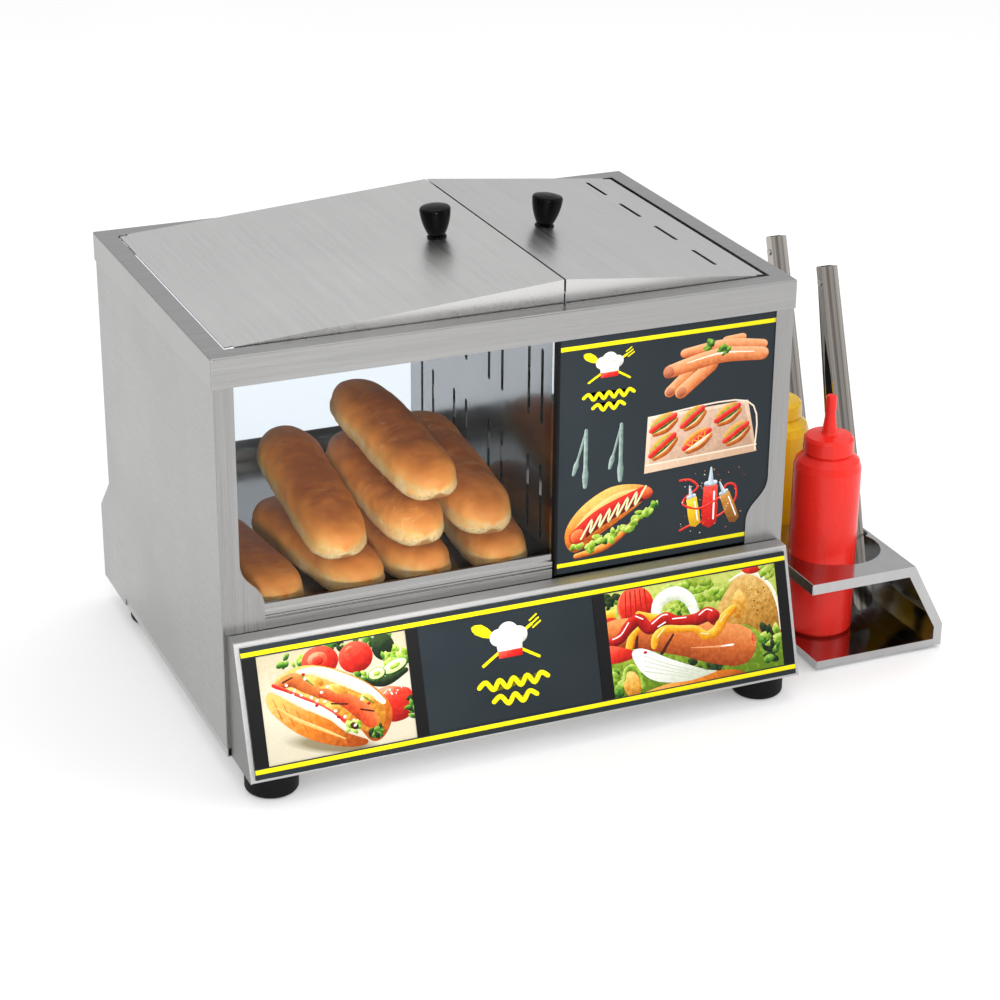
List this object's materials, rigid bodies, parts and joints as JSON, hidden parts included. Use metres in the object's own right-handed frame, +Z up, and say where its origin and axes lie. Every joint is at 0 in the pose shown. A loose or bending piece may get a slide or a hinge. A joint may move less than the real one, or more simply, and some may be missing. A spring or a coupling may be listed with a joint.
{
  "type": "hot dog steamer",
  "caption": "Countertop hot dog steamer with glazed bun bay, two hinged lids, sloping sign, rear controls, and a condiment stand with sauce bottles and tongs.",
  "frame": {"origin": "middle of the footprint of cabinet and condiment stand, at counter level", "axes": "+X to the customer's right, -Y towards the customer, +Z up"},
  "size_m": [0.752, 0.5282, 0.4612],
  "materials": {
    "brushed_panels": "brushed stainless sheet",
    "polished_steel": "bright polished stainless",
    "fasteners": "bright zinc and stainless",
    "clear_glass": "clear toughened glass",
    "printed_board": "dark slate board, printed and laminated",
    "black_knobs": "gloss black phenolic",
    "black_plastic": "moulded black",
    "white_plastic": "moulded white",
    "black_rubber": "matt black",
    "brass_fittings": "turned brass",
    "amber_lens": "translucent lens",
    "red_plastic": "satin red polyethylene",
    "yellow_plastic": "satin yellow polyethylene",
    "bread": "baked bread crust"
  },
  "bodies": {
    "cabinet": {"base_pan": "brushed_panels", "left_side_panel": "brushed_panels", "right_side_panel": "brushed_panels", "top_frame": "brushed_panels", "rear_frame": "brushed_panels", "rear_glass": "clear_glass", "control_housing": "brushed_panels", "sign_housing": "brushed_panels", "sign_panel": "printed_board", "window_rail": "polished_steel", "front_glass": "clear_glass", "menu_board": "printed_board", "board_edge_seal": "black_rubber", "glass_clips": "polished_steel", "partition": "polished_steel", "bun_floor": "polished_steel", "basket_rails": "polished_steel", "water_tank": "polished_steel", "tank_supports": "polished_steel", "heating_element": "polished_steel", "element_glands": "brass_fittings", "drain_valve": "brass_fittings", "thermostat_body": "black_plastic", "thermostat_bulb": "fasteners", "safety_thermostat": "black_plastic", "pilot_lamps": "amber_lens", "switch_body": "black_plastic", "terminal_block": "white_plastic", "cable_gland": "black_plastic", "power_cord": "black_rubber", "power_plug": "black_plastic", "feet": "black_rubber", "foot_screws": "fasteners", "lid_hinge_pins": "fasteners", "panel_screws": "fasteners", "hot_dog_buns": "bread"},
    "lid_left": {"left_lid": "brushed_panels", "left_lid_knob": "black_knobs", "left_knob_screw": "fasteners"},
    "lid_right": {"right_lid": "brushed_panels", "right_lid_knob": "black_knobs", "right_knob_screw": "fasteners"},
    "thermostat_control": {"thermostat_knob": "black_knobs"},
    "power_switch": {"power_rocker": "black_knobs"},
    "reset_control": {"reset_button": "red_plastic"},
    "drain_control": {"drain_lever": "black_knobs"},
    "basket": {"sausage_basket": "polished_steel"},
    "stand": {"condiment_stand": "polished_steel", "stand_feet": "black_rubber"},
    "ketchup": {"ketchup_bottle": "red_plastic"},
    "ketchup_closure": {"ketchup_cap": "red_plastic"},
    "mustard": {"mustard_bottle": "yellow_plastic"},
    "mustard_closure": {"mustard_cap": "yellow_plastic"},
    "front_tongs": {"front_tongs_front_arm": "polished_steel", "front_tongs_pivot": "fasteners"},
    "front_tongs_rear": {"front_tongs_rear_arm": "polished_steel"},
    "rear_tongs": {"rear_tongs_front_arm": "polished_steel", "rear_tongs_pivot": "fasteners"},
    "rear_tongs_rear": {"rear_tongs_rear_arm": "polished_steel"}
  },
  "joints": [
    {"name": "left_lid_hinge", "type": "hinge", "parent": "cabinet", "child": "lid_left", "pos_m": [-0.3515, -0.0154, 0.407], "axis": [0, -1, 0], "range_deg": [0, 95]},
    {"name": "right_lid_hinge", "type": "hinge", "parent": "cabinet", "child": "lid_right", "pos_m": [0.167, -0.0154, 0.407], "axis": [0, 1, 0], "range_deg": [0, 95]},
    {"name": "thermostat_turn", "type": "hinge", "parent": "cabinet", "child": "thermostat_control", "pos_m": [-0.161, 0.2126, 0.066], "axis": [0, 1, 0], "range_deg": [0, 270]},
    {"name": "switch_rock", "type": "hinge", "parent": "cabinet", "child": "power_switch", "pos_m": [-0.031, 0.2116, 0.066], "axis": [1, 0, 0], "range_deg": [-20, 0]},
    {"name": "reset_press", "type": "slide", "parent": "cabinet", "child": "reset_control", "axis": [0, -1, 0], "range_m": [0, 0.002]},
    {"name": "drain_lever_turn", "type": "hinge", "parent": "cabinet", "child": "drain_control", "pos_m": [0.149, 0.2306, 0.073], "axis": [0, 0, 1], "range_deg": [-90, 0]},
    {"name": "basket_lift", "type": "slide", "parent": "cabinet", "child": "basket", "axis": [0, 0, 1], "range_m": [0, 0.1]},
    {"name": "stand_slide", "type": "slide", "parent": "cabinet", "child": "stand", "axis": [1, 0, 0], "range_m": [0, 0.15]},
    {"name": "ketchup_lift", "type": "slide", "parent": "stand", "child": "ketchup", "axis": [0, 0, 1], "range_m": [0, 0.22]},
    {"name": "ketchup_cap_turn", "type": "hinge", "parent": "ketchup", "child": "ketchup_closure", "pos_m": [0.275, -0.1474, 0.21], "axis": [0, 0, 1], "range_deg": [0, 360]},
    {"name": "mustard_lift", "type": "slide", "parent": "stand", "child": "mustard", "axis": [0, 0, 1], "range_m": [0, 0.22]},
    {"name": "mustard_cap_turn", "type": "hinge", "parent": "mustard", "child": "mustard_closure", "pos_m": [0.275, -0.0414, 0.21], "axis": [0, 0, 1], "range_deg": [0, 360]},
    {"name": "front_tongs_lift", "type": "slide", "parent": "stand", "child": "front_tongs", "axis": [0, 0.3151, 0.949], "range_m": [0, 0.2]},
    {"name": "front_tongs_squeeze", "type": "hinge", "parent": "front_tongs", "child": "front_tongs_rear", "pos_m": [0.324, -0.04444, 0.34082], "axis": [1, 0, 0], "range_deg": [-6.4, 0], "stiffness_Nm_per_rad": 0.05},
    {"name": "rear_tongs_lift", "type": "slide", "parent": "stand", "child": "rear_tongs", "axis": [0, 0.3151, 0.949], "range_m": [0, 0.2]},
    {"name": "rear_tongs_squeeze", "type": "hinge", "parent": "rear_tongs", "child": "rear_tongs_rear", "pos_m": [0.324, 0.06156, 0.34082], "axis": [1, 0, 0], "range_deg": [-6.4, 0], "stiffness_Nm_per_rad": 0.05}
  ]
}
